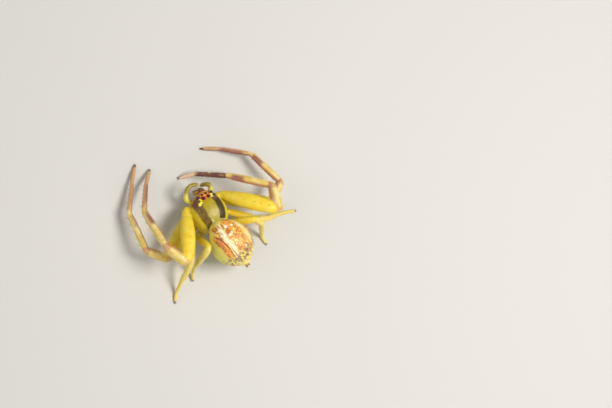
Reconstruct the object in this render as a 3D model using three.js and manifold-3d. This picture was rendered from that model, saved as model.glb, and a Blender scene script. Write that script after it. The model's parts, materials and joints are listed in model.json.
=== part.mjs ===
import * as THREE from "three";
import { mergeVertices } from "three/addons/utils/BufferGeometryUtils.js";
import Module from "manifold-3d";

const wasm = await Module();
wasm.setup();

// A flower crab spider, an adult female in her hunting pose, life-size, in millimetres.
// She faces -Y, her left side is +X, and her feet stand on the plane Z = 0.
// Places on the body are written (forward, left, up), forward and left from the middle of the carapace.

// Clearances between pieces that meet
const GAP = 0.08;
const EYE_GAP = 0.03;

// Carapace: the shield over the front body
const CARAPACE_LENGTH = 3.34;
const CARAPACE_FORWARD = 0.17;
const CARAPACE_WIDTH = 2.9;
const CARAPACE_TOP = 2.62;
const CARAPACE_MARGIN = 1.3;
const CARAPACE_PLAN_POWER = 2.25;
const CARAPACE_DOME_POWER = 2.5;
const HEAD_NARROWING = 0.2;
const HEAD_DROP = 0.16;
const REAR_DROP = 0.42;
const CLYPEUS_RISE = 0.32;

// Eyes: two rows of four on the front slope; turn from straight ahead and rise up the dome, in degrees
const EYES = {
  front_middle: { turn: 9, rise: 33, radius: 0.075 },
  front_side: { turn: 32, rise: 33, radius: 0.105 },
  rear_middle: { turn: 15, rise: 48, radius: 0.07 },
  rear_side: { turn: 39, rise: 45, radius: 0.095 },
};
const EYE_STANDING_OUT = 0.35;

// Tubercles: the low swellings that carry the side eyes
const TUBERCLE_RADIUS = 0.2;
const TUBERCLE_LIFT = 0.09;
const TUBERCLE_DEPTH = 0.12;

// Sternum plate, mouthparts below it, and the chelicerae under the face
const STERNUM_FRONT = 0.75;
const STERNUM_REAR = -0.95;
const STERNUM_HALF_WIDTH = 0.58;
const STERNUM_BOTTOM = 0.68;
const STERNUM_FLARE = 0.22;
const STERNUM_PROFILE = [[0, 0], [0.55, 0.02], [0.85, 0.14], [1, 0.45], [0.98, 1], [0, 1]];
const MAXILLA_ROOT = [0.6, 0.3, 0.95];
const MAXILLA_TIP = [1.12, 0.24, 0.88];
const MAXILLA_RADII = [0.2, 0.22, 0.16];
const CHELICERA_ROOT = [1.78, 0.25, 1.62];
const CHELICERA_TIP = [1.94, 0.21, 0.9];
const CHELICERA_RADII = [0.17, 0.22, 0.13];

// Abdomen: an egg, blunt in front and tapering to the tail, turned a little to the right
const ABDOMEN_FRONT = [-0.6, 0.35, 2.72];
const ABDOMEN_TAIL = [-4.5, -1.08, 1.9];
const ABDOMEN_WIDTH = 3.28;
const ABDOMEN_HEIGHT = 2.95;
const ABDOMEN_BOW = 0.1;
const ABDOMEN_FORWARD = 1.03;
const ABDOMEN_FRONT_POWER = 0.5;
const ABDOMEN_TAIL_POWER = 0.82;

// Pedicel: the narrow waist between the front body and the abdomen
const PEDICEL_ROOT = [-0.9, 0, 1.02];
const PEDICEL_END = [-2.1, -0.25, 1.36];
const PEDICEL_RADIUS = 0.24;

// Spinnerets: two pairs of small cones on a mound under the tail
const MOUND_RADIUS = 0.26;
const MOUND_INSET = 0.12;
const SPINNERETS = [
  { across: 0.12, rise: 0.02, length: 0.42 },
  { across: -0.12, rise: 0.02, length: 0.42 },
  { across: 0.1, rise: -0.17, length: 0.36 },
  { across: -0.1, rise: -0.17, length: 0.36 },
];
const SPINNERET_RADII = [0.11, 0.1, 0.06];

// Legs: pairs 1 and 2 are the long hunting legs, 3 and 4 the short walking legs
const LEG_LENGTHS = {
  1: { femur: 4.6, patella: 1.9, tibia: 3.25, metatarsus: 2.5, tarsus: 1.35 },
  2: { femur: 3.55, patella: 1.75, tibia: 3.05, metatarsus: 2.45, tarsus: 1.4 },
  3: { femur: 2.2, patella: 0.95, tibia: 1.45, metatarsus: 1.05, tarsus: 0.75 },
  4: { femur: 2.1, patella: 0.9, tibia: 1.4, metatarsus: 0.95, tarsus: 0.68 },
};
const COXA_ROOTS = {
  1: [0.6, 0.62, 0.98],
  2: [0.16, 0.74, 0.95],
  3: [-0.3, 0.74, 0.95],
  4: [-0.72, 0.6, 0.98],
};
const HIPS = {
  1: [1.0, 1.5, 1.25],
  2: [0.4, 1.75, 0.95],
  3: [-0.48, 1.68, 1.0],
  4: [-1.28, 1.42, 1.1],
};

// Radii at the root, middle and end of each segment
const LONG_LEG_RADII = {
  coxa: [0.17, 0.27, 0.26],
  femur: [0.29, 0.6, 0.38],
  patella: [0.37, 0.41, 0.33],
  tibia: [0.31, 0.31, 0.27],
  metatarsus: [0.25, 0.25, 0.24],
  tarsus: [0.22, 0.2, 0.15],
};
const SHORT_LEG_RADII = {
  coxa: [0.15, 0.25, 0.23],
  femur: [0.25, 0.34, 0.29],
  patella: [0.29, 0.31, 0.26],
  tibia: [0.26, 0.27, 0.25],
  metatarsus: [0.25, 0.24, 0.22],
  tarsus: [0.21, 0.18, 0.14],
};
const LEG_GIRTH = { 1: 1, 2: 0.9, 3: 0.96, 4: 0.96 };
const FEMUR_THICKNESS = 0.78;
const FEMUR_BOW = { 1: 0.3, 2: 0.12, 3: 0.08, 4: 0.12 };
const SOLE_HEIGHT = 0.11;

// Pose: the heading of each segment, from straight ahead towards its own side, and its slope, in degrees.
// The tarsus has a heading alone, because it slopes down to the floor.
const LEG_POSES = {
  leg1_left: {
    femur: [144, 28], patella: [29, -4], tibia: [0, -25],
    metatarsus: [-41, -28], tarsus: [-50],
  },
  leg2_left: {
    femur: [126, 15], patella: [46, -6], tibia: [-3, -12],
    metatarsus: [-36, -15], tarsus: [-40],
  },
  leg3_left: {
    femur: [147, 28], patella: [145, -10], tibia: [142, -42],
    metatarsus: [146, -42], tarsus: [150],
  },
  leg4_left: {
    femur: [162, 68], patella: [138, -38], tibia: [148, -66],
    metatarsus: [160, -58], tarsus: [165],
  },
  leg1_right: {
    femur: [132, 28], patella: [9, -4], tibia: [-51, -26],
    metatarsus: [-61, -24], tarsus: [-81],
  },
  leg2_right: {
    femur: [116, 16], patella: [55, -6], tibia: [-20, -14],
    metatarsus: [-56, -15], tarsus: [-66],
  },
  leg3_right: {
    femur: [130, 10], patella: [110, -2], tibia: [98, -32],
    metatarsus: [102, -18], tarsus: [106],
  },
  leg4_right: {
    femur: [107, 46], patella: [138, -32], tibia: [156, -60],
    metatarsus: [166, -56], tarsus: [170],
  },
};

// Palps: the small feelers beside the mouth, bent across the front of the face
const PALP_ROUTES = {
  left: [[1.0, 0.48, 1.0], [1.64, 1.14, 1.3], [2.2, 1.05, 1.6], [2.54, 0.6, 1.68], [2.4, -0.12, 1.5]],
  right: [[1.0, 0.48, 1.0], [1.4, 0.88, 1.18], [1.86, 1.02, 1.42], [2.12, 0.82, 1.25], [2.14, 0.56, 0.66]],
};
const PALP_RADII = [0.2, 0.24, 0.19];

// Colours
const PALE_YELLOW = 0xe2cf52;
const GREEN_YELLOW = 0xc2b23c;
const CREAM = 0xf0e2a4;
const TAN = 0xc9a06a;
const AMBER = 0xc98a35;
const EYE_BLACK = 0x1c120c;
const LEG_COLOURS = { coxa: GREEN_YELLOW, femur: PALE_YELLOW, patella: PALE_YELLOW, tibia: CREAM, foot: TAN };

// A point of the body as a vector of the part's own frame.
function place(forward, left, up) {
  return new THREE.Vector3(left, -forward, up);
}

// A point given for the left side, or its mirror image on the right: side is 1 on the left, -1 on the right.
function onSide([forward, left, up], side) {
  return place(forward, side * left, up);
}

// A unit vector with this heading and slope on one side of the body.
function direction([heading, slope], side) {
  const turn = THREE.MathUtils.degToRad(heading);
  const rise = THREE.MathUtils.degToRad(slope);
  return place(Math.cos(turn) * Math.cos(rise), side * Math.sin(turn) * Math.cos(rise), Math.sin(rise));
}

// A radius that runs from root to end with a swelling in the middle.
function swelling([root, middle, end]) {
  const bulge = middle - (root + end) / 2;
  return (share) => THREE.MathUtils.lerp(root, end, share) + bulge * Math.sin(Math.PI * share);
}

// A closed solid from a geometry, its doubled points joined.
function solidOf(geometry) {
  geometry.deleteAttribute("normal");
  geometry.deleteAttribute("uv");
  const merged = mergeVertices(geometry, 1e-5);
  const triVerts = new Uint32Array(merged.index.array);
  return new wasm.Manifold(
    new wasm.Mesh({ numProp: 3, vertProperties: merged.attributes.position.array, triVerts }),
  );
}

// The largest piece of a solid that a cut may have left in several pieces.
function largest(solid) {
  return solid.decompose().sort((a, b) => b.volume() - a.volume())[0];
}

function geometryOf(solid) {
  const { vertProperties, triVerts } = solid.getMesh();
  const geometry = new THREE.BufferGeometry();
  geometry.setAttribute("position", new THREE.BufferAttribute(vertProperties, 3));
  geometry.setIndex(new THREE.BufferAttribute(triVerts, 1));
  geometry.computeVertexNormals();
  return geometry;
}

// Moves every point of a geometry to where the map puts it.
function reshape(geometry, map) {
  const position = geometry.attributes.position;
  for (let i = 0; i < position.count; i++) {
    const { x, y, z } = map(new THREE.Vector3().fromBufferAttribute(position, i));
    position.setXYZ(i, x, y, z);
  }
  return geometry;
}

// A turned form bent along a curve: radiusAt gives the radius at each share of its length.
// Caps round off ends whose radius isn't zero. broad and thin stretch the section sideways and upwards.
// An egg has no caps, and its stations draw together towards its ends.
function limb(curve, radiusAt, { stations = 8, sides = 12, broad = 1, thin = 1, caps = true } = {}) {
  const length = curve.getLength();
  const profile = [];
  const capSteps = caps ? 2 : 0;
  const capPoint = (end, step, outward) => {
    const angle = (step / capSteps) * (Math.PI / 2);
    const reach = (outward * radiusAt(end) * Math.cos(angle)) / length;
    return new THREE.Vector2(radiusAt(end) * Math.sin(angle), end + reach);
  };
  for (let k = 0; k < capSteps; k++) {
    profile.push(capPoint(0, k, -1));
  }
  for (let k = 0; k <= stations; k++) {
    const share = caps ? k / stations : 0.5 - 0.5 * Math.cos(Math.PI * (k / stations));
    profile.push(new THREE.Vector2(Math.max(radiusAt(share), 0), share));
  }
  for (let k = capSteps - 1; k >= 0; k--) {
    profile.push(capPoint(1, k, 1));
  }
  return reshape(new THREE.LatheGeometry(profile, sides), ({ x, y, z }) => {
    const share = THREE.MathUtils.clamp(y, 0, 1);
    const tangent = curve.getTangentAt(share);
    const sideways = new THREE.Vector3(0, 0, 1).cross(tangent).normalize();
    const upwards = sideways.clone().cross(tangent);
    return curve.getPointAt(share)
      .addScaledVector(tangent, (y - share) * length)
      .addScaledVector(sideways, x * broad)
      .addScaledVector(upwards, z * thin);
  });
}

// A curve from root to end that bows upwards by a given height at its middle.
function bowed(root, end, bow) {
  const middle = root.clone().lerp(end, 0.5);
  middle.z += 2 * bow;
  return new THREE.QuadraticBezierCurve3(root, middle, end);
}

// The carapace's surface: turn runs round the plan, out from the middle to the margin, lift up the dome.
function carapacePoint(turn, out, lift, grow = 0) {
  const power = CARAPACE_PLAN_POWER;
  const plan = (Math.abs(Math.cos(turn)) ** power + Math.abs(Math.sin(turn)) ** power) ** (-1 / power);
  const forward = CARAPACE_FORWARD + (CARAPACE_LENGTH / 2 + grow) * out * plan * Math.cos(turn);
  const head = THREE.MathUtils.smoothstep(forward, 0.1, 1.7);
  const left = (CARAPACE_WIDTH / 2 + grow) * out * plan * Math.sin(turn) * (1 - HEAD_NARROWING * head);
  const margin = CARAPACE_MARGIN - grow + CLYPEUS_RISE * THREE.MathUtils.smoothstep(forward, 1.15, 1.75);
  const rearShare = THREE.MathUtils.smoothstep(-forward, 0.2, 1.5);
  const top = CARAPACE_TOP + grow - HEAD_DROP * head - REAR_DROP * rearShare;
  return place(forward, left, margin + (top - margin) * lift);
}

// The same surface by the two angles that place an eye.
function carapaceSpot(turnDegrees, riseDegrees) {
  const turn = THREE.MathUtils.degToRad(turnDegrees);
  const rise = THREE.MathUtils.degToRad(riseDegrees);
  const power = 2 / CARAPACE_DOME_POWER;
  return carapacePoint(turn, Math.cos(rise) ** power, Math.sin(rise) ** power);
}

// The whole shield as a closed dome, or the room it needs when grow is its clearance.
function carapaceDome(grow) {
  const rings = 11;
  const power = 2 / CARAPACE_DOME_POWER;
  const profile = [new THREE.Vector2(0, 0), new THREE.Vector2(0.5, 0), new THREE.Vector2(0.94, 0)];
  for (let k = 0; k <= rings; k++) {
    const rise = 0.06 + (Math.PI / 2 - 0.06) * (k / rings);
    const out = k === rings ? 0 : Math.cos(rise) ** power;
    profile.push(new THREE.Vector2(out, Math.sin(rise) ** power));
  }
  const dome = reshape(new THREE.LatheGeometry(profile, 36), ({ x, y, z }) =>
    carapacePoint(Math.atan2(x, z), Math.hypot(x, z), y, grow));
  return solidOf(dome);
}

function ballAt(centre, radius, sides = 10) {
  return solidOf(new THREE.SphereGeometry(radius, sides, Math.round(sides * 0.66)).translate(...centre));
}

// Where each eye sits: its centre stands out of the surface by a share of its radius.
function eyePlaces() {
  const middle = place(0.2, 0, 1.4);
  const places = {};
  for (const [row, { turn, rise, radius }] of Object.entries(EYES)) {
    for (const [sideName, side] of [["left", 1], ["right", -1]]) {
      const spot = carapaceSpot(side * turn, rise);
      const outward = spot.clone().sub(middle).normalize();
      const onTubercle = row.endsWith("side") ? TUBERCLE_LIFT : 0;
      const centre = spot.addScaledVector(outward, onTubercle + radius * EYE_STANDING_OUT);
      places[`eye_${row}_${sideName}`] = { centre, outward, radius };
    }
  }
  return places;
}

// The shield with its tubercles and a socket for each eye.
function carapace(eyes) {
  let shell = carapaceDome(0);
  for (const [name, { centre, outward, radius }] of Object.entries(eyes)) {
    if (!name.includes("_side_")) continue;
    const root = centre.clone().addScaledVector(outward, -radius * EYE_STANDING_OUT - TUBERCLE_DEPTH);
    shell = shell.add(ballAt(root, TUBERCLE_RADIUS));
  }
  for (const { centre, radius } of Object.values(eyes)) {
    shell = shell.subtract(ballAt(centre, radius + EYE_GAP));
  }
  return largest(shell);
}

// Sternum: a heart-shaped plate with the labium and the two maxillae in front of it.
function sternum(grow) {
  const middle = (STERNUM_FRONT + STERNUM_REAR) / 2;
  const top = CARAPACE_MARGIN - GAP;
  const bottom = STERNUM_BOTTOM - grow;
  const profile = STERNUM_PROFILE.map(([out, height]) => new THREE.Vector2(out, height));
  const plate = reshape(new THREE.LatheGeometry(profile, 20), ({ x, y, z }) => place(
    middle + z * (STERNUM_FRONT - middle + grow),
    x * (STERNUM_HALF_WIDTH + grow) * (1 + STERNUM_FLARE * z),
    bottom + y * (top - bottom),
  ));
  let under = solidOf(plate);
  for (const side of [1, -1]) {
    const route = new THREE.LineCurve3(onSide(MAXILLA_ROOT, side), onSide(MAXILLA_TIP, side));
    const radii = MAXILLA_RADII.map((radius) => radius + grow);
    under = under.add(solidOf(limb(route, swelling(radii), { stations: 4, sides: 10 })));
  }
  return largest(under);
}

// The abdomen, or the room it needs when grow is its clearance.
function abdomenEgg(grow) {
  const front = place(...ABDOMEN_FRONT);
  const tail = place(...ABDOMEN_TAIL);
  const along = tail.clone().sub(front).normalize();
  const curve = bowed(front.addScaledVector(along, -grow), tail.addScaledVector(along, grow), ABDOMEN_BOW);
  const width = (share) => {
    const bulge = Math.sin(Math.PI * THREE.MathUtils.clamp(share, 0, 1) ** ABDOMEN_FORWARD);
    const bluntness = THREE.MathUtils.lerp(ABDOMEN_FRONT_POWER, ABDOMEN_TAIL_POWER, share);
    return share < 1e-6 || share > 1 - 1e-6 ? 0 : Math.max(bulge, 0) ** bluntness;
  };
  const broad = ABDOMEN_WIDTH / 2 + grow;
  const thin = ABDOMEN_HEIGHT / 2 + grow;
  return solidOf(limb(curve, width, { stations: 18, sides: 32, broad, thin, caps: false }));
}

function chelicera(side) {
  const route = new THREE.LineCurve3(onSide(CHELICERA_ROOT, side), onSide(CHELICERA_TIP, side));
  return solidOf(limb(route, swelling(CHELICERA_RADII), { stations: 6, sides: 12 }));
}

function palp(sideName, side) {
  const points = PALP_ROUTES[sideName].map((point) => onSide(point, side));
  const route = new THREE.CatmullRomCurve3(points);
  return solidOf(limb(route, swelling(PALP_RADII), { stations: 14, sides: 10 }));
}

function pedicel() {
  const route = new THREE.LineCurve3(place(...PEDICEL_ROOT), place(...PEDICEL_END));
  return solidOf(limb(route, () => PEDICEL_RADIUS, { stations: 4, sides: 12 }));
}

function spinnerets() {
  const tail = place(...ABDOMEN_TAIL);
  const back = tail.clone().sub(place(...ABDOMEN_FRONT)).normalize();
  const root = tail.clone().addScaledVector(back, -MOUND_INSET);
  root.z -= MOUND_INSET;
  let cluster = ballAt(root, MOUND_RADIUS);
  const sideways = new THREE.Vector3(0, 0, 1).cross(back).normalize();
  for (const { across, rise, length } of SPINNERETS) {
    const start = root.clone().addScaledVector(sideways, across * 0.7);
    start.z += rise * 0.5;
    const end = root.clone().addScaledVector(back, length).addScaledVector(sideways, across);
    end.z += rise;
    const route = new THREE.LineCurve3(start, end);
    cluster = cluster.add(solidOf(limb(route, swelling(SPINNERET_RADII), { stations: 3, sides: 8 })));
  }
  return cluster;
}

// The joints of one leg, from the coxa's root to the tip on the floor.
function legJoints(name, pair, side) {
  const lengths = LEG_LENGTHS[pair];
  const pose = LEG_POSES[name];
  const joints = [onSide(COXA_ROOTS[pair], side), onSide(HIPS[pair], side)];
  for (const segment of ["femur", "patella", "tibia", "metatarsus"]) {
    joints.push(joints.at(-1).clone().addScaledVector(direction(pose[segment], side), lengths[segment]));
  }
  const drop = joints.at(-1).z - SOLE_HEIGHT;
  const slope = THREE.MathUtils.radToDeg(-Math.asin(drop / lengths.tarsus));
  const downwards = direction([pose.tarsus[0], slope], side);
  joints.push(joints.at(-1).clone().addScaledVector(downwards, lengths.tarsus));
  return joints;
}

// The part of a segment on one side of the plane that halves the bend at a joint.
function mitred(solid, joint, before, after, keepBefore) {
  const normal = before.clone().add(after).normalize();
  const offset = normal.dot(joint);
  return keepBefore
    ? solid.trimByPlane(normal.clone().negate().toArray(), -offset + GAP / 2)
    : solid.trimByPlane(normal.toArray(), offset + GAP / 2);
}

// The five solids of one leg: coxa, femur, patella, tibia, and the foot of metatarsus and tarsus.
function leg(name, pair, side) {
  const radii = pair <= 2 ? LONG_LEG_RADII : SHORT_LEG_RADII;
  const girth = LEG_GIRTH[pair];
  const [root, hip, knee, shin, ankle, instep, tip] = legJoints(name, pair, side);
  const scaled = (segment) => swelling(radii[segment].map((radius) => radius * girth));
  const foot = new THREE.CatmullRomCurve3([ankle, ankle.clone().lerp(instep, 0.5), instep, tip]);
  const share = ankle.distanceTo(instep) / (ankle.distanceTo(instep) + instep.distanceTo(tip));
  const footRadius = (along) => along < share
    ? scaled("metatarsus")(along / share)
    : scaled("tarsus")((along - share) / (1 - share));
  const curves = {
    coxa: new THREE.LineCurve3(root, hip),
    femur: bowed(hip, knee, FEMUR_BOW[pair]),
    patella: new THREE.LineCurve3(knee, shin),
    tibia: new THREE.LineCurve3(shin, ankle),
    foot,
  };
  const solids = {
    coxa: solidOf(limb(curves.coxa, scaled("coxa"), { stations: 5 })),
    femur: solidOf(limb(curves.femur, scaled("femur"), { stations: 9, thin: FEMUR_THICKNESS })),
    patella: solidOf(limb(curves.patella, scaled("patella"), { stations: 4 })),
    tibia: solidOf(limb(curves.tibia, scaled("tibia"), { stations: 6 })),
    foot: solidOf(limb(curves.foot, footRadius, { stations: 12, sides: 10 })),
  };
  const names = Object.keys(curves);
  const bends = [hip, knee, shin, ankle];
  bends.forEach((joint, k) => {
    const before = curves[names[k]].getTangentAt(1);
    const after = curves[names[k + 1]].getTangentAt(0);
    solids[names[k]] = mitred(solids[names[k]], joint, before, after, true);
    solids[names[k + 1]] = mitred(solids[names[k + 1]], joint, before, after, false);
  });
  solids.foot = solids.foot.trimByPlane([0, 0, 1], 0);
  return solids;
}

// One named piece of the spider with a material of its own.
function node(name, solid, colour, roughness = 0.55) {
  const material = new THREE.MeshStandardMaterial({ color: colour, roughness, metalness: 0 });
  const mesh = new THREE.Mesh(geometryOf(largest(solid)), material);
  mesh.name = name;
  return mesh;
}

const spider = new THREE.Group();
const eyes = eyePlaces();
const carapaceRoom = carapaceDome(GAP);
const abdomenRoom = abdomenEgg(GAP);
const sternumRoom = sternum(GAP);

spider.add(node("carapace", carapace(eyes), GREEN_YELLOW));
spider.add(node("sternum", sternum(0), CREAM));
spider.add(node("abdomen", abdomenEgg(0).subtract(carapaceRoom), CREAM));
const waist = pedicel().subtract(carapaceRoom).subtract(sternumRoom).subtract(abdomenRoom);
spider.add(node("pedicel", waist, CREAM));
spider.add(node("spinnerets", spinnerets().subtract(abdomenRoom), AMBER));
for (const [name, { centre, radius }] of Object.entries(eyes)) {
  spider.add(node(name, ballAt(centre, radius), EYE_BLACK, 0.15));
}
for (const [sideName, side] of [["left", 1], ["right", -1]]) {
  spider.add(node(`chelicera_${sideName}`, chelicera(side).subtract(carapaceRoom), AMBER));
  const feeler = palp(sideName, side).subtract(carapaceRoom).subtract(sternumRoom);
  spider.add(node(`palp_${sideName}`, feeler, GREEN_YELLOW));
  for (const pair of [1, 2, 3, 4]) {
    const name = `leg${pair}_${sideName}`;
    for (const [segment, whole] of Object.entries(leg(name, pair, side))) {
      let clear = whole;
      if (segment === "coxa" || segment === "femur") {
        clear = whole.subtract(carapaceRoom).subtract(sternumRoom).subtract(abdomenRoom);
      }
      spider.add(node(`${name}_${segment}`, clear, LEG_COLOURS[segment]));
    }
  }
}

// The origin is under the middle of the whole animal, on the plane of her feet.
const extent = new THREE.Box3().setFromObject(spider);
const middle = extent.getCenter(new THREE.Vector3());
spider.position.set(-middle.x, -middle.y, 0);

export default spider;
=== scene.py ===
# %% [markdown]
# # A flower crab spider
# A small, pale hunting spider with two pairs of long front legs held ready to close on an insect.
# This lesson dresses her plain solids: one soft skin over the flesh, bright eyes, fangs and claws,
# then bristles and down, a pale floor and soft light. She is 7 mm long in the body.
#
# The frame is loaded first. It holds the solids, and every place that follows is measured from them.

# %% Load the frame
import json
import math

import bpy
import numpy as np
from mathutils import Matrix, Vector

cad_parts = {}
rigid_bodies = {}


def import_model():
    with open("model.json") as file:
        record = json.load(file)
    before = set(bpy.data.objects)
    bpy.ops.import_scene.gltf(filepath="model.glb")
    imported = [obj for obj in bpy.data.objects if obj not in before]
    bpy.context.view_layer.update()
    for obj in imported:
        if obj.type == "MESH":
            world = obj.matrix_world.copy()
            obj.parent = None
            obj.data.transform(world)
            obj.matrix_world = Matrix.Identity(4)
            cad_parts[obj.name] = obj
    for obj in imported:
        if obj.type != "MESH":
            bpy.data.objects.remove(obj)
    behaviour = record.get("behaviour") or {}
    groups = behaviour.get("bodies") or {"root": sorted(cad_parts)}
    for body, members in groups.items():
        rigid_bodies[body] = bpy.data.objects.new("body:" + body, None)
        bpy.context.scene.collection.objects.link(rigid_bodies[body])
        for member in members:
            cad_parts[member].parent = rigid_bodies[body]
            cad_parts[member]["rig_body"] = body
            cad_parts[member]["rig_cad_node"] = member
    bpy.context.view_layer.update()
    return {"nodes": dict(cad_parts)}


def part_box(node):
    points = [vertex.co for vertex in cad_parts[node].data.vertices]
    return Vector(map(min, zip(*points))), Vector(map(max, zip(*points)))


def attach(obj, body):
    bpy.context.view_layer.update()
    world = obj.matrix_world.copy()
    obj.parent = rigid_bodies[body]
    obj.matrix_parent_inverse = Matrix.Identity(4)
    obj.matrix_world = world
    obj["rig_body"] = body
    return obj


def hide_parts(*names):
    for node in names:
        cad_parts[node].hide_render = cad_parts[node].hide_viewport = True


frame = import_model()

# %% [markdown]
# ## Working in millimetres
# A metre is a clumsy unit for an animal of this size: a remesh or a merge works with numbers near its
# limits. So each piece is modelled in millimetres and made a thousand times smaller at the end.
# Places on the body are written (forward, left, up), with forward and left measured from the middle of the
# carapace and up from the floor. `place` turns them into the frame's own x, y and z.

# %% Places on the body
MM = 0.001
UPRIGHT = Vector((0, 0, 1))
SIDES = {1: "left", -1: "right"}
CARAPACE_FORWARD = 0.17


def node_middle(node):
    low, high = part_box(node)
    return (low + high) / 2 / MM


MIDDLE = node_middle("carapace") + Vector((0, CARAPACE_FORWARD, 0))


def place(forward, left, up):
    return Vector((MIDDLE.x + left, MIDDLE.y - forward, up))


def body_places(points):
    """The same in reverse, for many points at once: columns forward, left, up."""
    return np.stack([MIDDLE.y - points[:, 1], points[:, 0] - MIDDLE.x, points[:, 2]], axis=1)


print("carapace middle in mm", [round(v, 3) for v in MIDDLE])

# %% [markdown]
# ## The legs' joints
# A spider's leg has a coxa at the body, then femur, patella, tibia, metatarsus and tarsus. Each segment is
# set by its length, its heading from straight ahead and its slope, so a pose can be read and changed.
# Lengths and headings are those of the solids. Soles, girths and radii differ from theirs a little,
# because a skin can taper more finely than a solid. Side 1 is her left and side -1 her right.

# %% Named sizes of the legs
LEG_LENGTHS = {1: [4.6, 1.9, 3.25, 2.5, 1.35], 2: [3.55, 1.75, 3.05, 2.45, 1.4],
               3: [2.2, 0.95, 1.45, 1.05, 0.75], 4: [2.1, 0.9, 1.4, 0.95, 0.68]}
COXA_ROOTS = {1: [0.6, 0.62, 0.98], 2: [0.16, 0.74, 0.95], 3: [-0.3, 0.74, 0.95], 4: [-0.72, 0.6, 0.98]}
HIPS = {1: [1.0, 1.5, 1.25], 2: [0.4, 1.75, 0.95], 3: [-0.48, 1.68, 1.0], 4: [-1.28, 1.42, 1.1]}
LEG_POSES = {
    (1, 1): [[144, 28], [29, -4], [0, -25], [-41, -28], [-50]],
    (2, 1): [[126, 15], [46, -6], [-3, -12], [-36, -15], [-40]],
    (3, 1): [[147, 28], [145, -10], [142, -42], [146, -42], [150]],
    (4, 1): [[162, 68], [138, -38], [148, -66], [160, -58], [165]],
    (1, -1): [[132, 28], [9, -4], [-51, -26], [-61, -24], [-81]],
    (2, -1): [[116, 16], [55, -6], [-20, -14], [-56, -15], [-66]],
    (3, -1): [[130, 10], [110, -2], [98, -32], [102, -18], [106]],
    (4, -1): [[107, 46], [138, -32], [156, -60], [166, -56], [170]],
}
SOLE_HEIGHT = 0.1
FEMUR_BOW = {1: 0.3, 2: 0.12, 3: 0.08, 4: 0.12}
FEMUR_THICKNESS = 0.8
LEG_GIRTH = {1: 1.0, 2: 0.9, 3: 0.94, 4: 0.94}
LONG_RADII = [[0.17, 0.27, 0.25], [0.28, 0.59, 0.37], [0.35, 0.39, 0.31], [0.28, 0.29, 0.24],
              [0.21, 0.19, 0.17], [0.16, 0.155, 0.1]]
SHORT_RADII = [[0.15, 0.24, 0.22], [0.23, 0.32, 0.27], [0.27, 0.29, 0.24], [0.22, 0.235, 0.2],
               [0.17, 0.16, 0.145], [0.14, 0.135, 0.09]]

# %% Joints from the named sizes


def heading(degrees, slope, side):
    turn, rise = math.radians(degrees), math.radians(slope)
    return Vector((side * math.sin(turn) * math.cos(rise), -math.cos(turn) * math.cos(rise), math.sin(rise)))


def leg_joints(pair, side):
    """Seven joints: coxa root, hip, knee, and so on to the tip, which comes down to the sole's height."""
    root, hip = COXA_ROOTS[pair], HIPS[pair]
    joints = [place(root[0], side * root[1], root[2]), place(hip[0], side * hip[1], hip[2])]
    pose = LEG_POSES[pair, side]
    for (turn, slope), length in zip(pose[:4], LEG_LENGTHS[pair][:4]):
        joints.append(joints[-1] + heading(turn, slope, side) * length)
    last = LEG_LENGTHS[pair][4]
    slope = -math.degrees(math.asin((joints[-1].z - SOLE_HEIGHT) / last))
    joints.append(joints[-1] + heading(pose[4][0], slope, side) * last)
    return joints


def femur_point(pair, side, share):
    """A point on the thigh's bowed line, from hip to knee."""
    hip, knee = LEGS[pair, side][1:3]
    return hip.lerp(knee, share) + UPRIGHT * (4 * FEMUR_BOW[pair] * share * (1 - share))


LEGS = {key: leg_joints(*key) for key in LEG_POSES}
for key, joints in LEGS.items():
    print("leg", key, "tip at", [round(v, 2) for v in joints[-1]])

# %% [markdown]
# ## Drawing out a tube
# A leg, a palp or the waist is a round form that swells and narrows along its length. By hand one adds a
# circle, extrudes its face a step, scales it, and goes on ring by ring. That makes a straight tube, and a
# Curve modifier then bends it along a guide, which keeps every ring square to the line. It is chosen over
# turning each ring, because a turn has to be worked out anew at each bend.

# %% Helpers for tubes
CORNER_SHARE, CORNER_CUT = 0.4, 0.28


def only(piece):
    bpy.ops.object.select_all(action="DESELECT")
    bpy.context.view_layer.objects.active = piece
    piece.select_set(True)


def edit_all(action="SELECT"):
    bpy.ops.object.mode_set(mode="EDIT")
    bpy.ops.mesh.select_all(action=action)


def end_edit():
    bpy.ops.object.mode_set(mode="OBJECT")


def turn_outwards():
    bpy.ops.mesh.select_all(action="SELECT")
    bpy.ops.mesh.normals_make_consistent(inside=False)


def apply_all(piece):
    only(piece)
    for modifier in list(piece.modifiers):
        bpy.ops.object.modifier_apply(modifier=modifier.name)


def straight_tube(name, marks, radii, sides):
    """A tube on +X, with a ring at each mark."""
    bpy.ops.object.select_all(action="DESELECT")
    bpy.ops.mesh.primitive_circle_add(vertices=sides, radius=radii[0], fill_type="NGON",
                                      rotation=(0, math.pi / 2, 0))
    tube = bpy.context.object
    tube.name = name
    bpy.ops.object.transform_apply(location=False, rotation=True, scale=False)
    edit_all()
    for k in range(1, len(marks)):
        bpy.ops.mesh.extrude_region_move(TRANSFORM_OT_translate={"value": (marks[k] - marks[k - 1], 0, 0)})
        grow = radii[k] / radii[k - 1]
        bpy.ops.transform.resize(value=(1, grow, grow), center_override=(marks[k], 0, 0))
    turn_outwards()
    end_edit()
    return tube


def bend_along(tube, route):
    """Bends a tube on +X along a line through the points of route."""
    guide_curve = bpy.data.curves.new(tube.name + "_guide", "CURVE")
    guide_curve.dimensions = "3D"
    guide_curve.twist_mode = "Z_UP"
    line = guide_curve.splines.new("POLY")
    line.points.add(len(route) - 1)
    for point, at in zip(line.points, route):
        point.co = (*at, 1)
    guide = bpy.data.objects.new(tube.name + "_guide", guide_curve)
    bpy.context.collection.objects.link(guide)
    bend = tube.modifiers.new("bend", "CURVE")
    bend.object = guide
    apply_all(tube)
    bpy.data.objects.remove(guide)
    bpy.data.curves.remove(guide_curve)
    return tube


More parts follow.
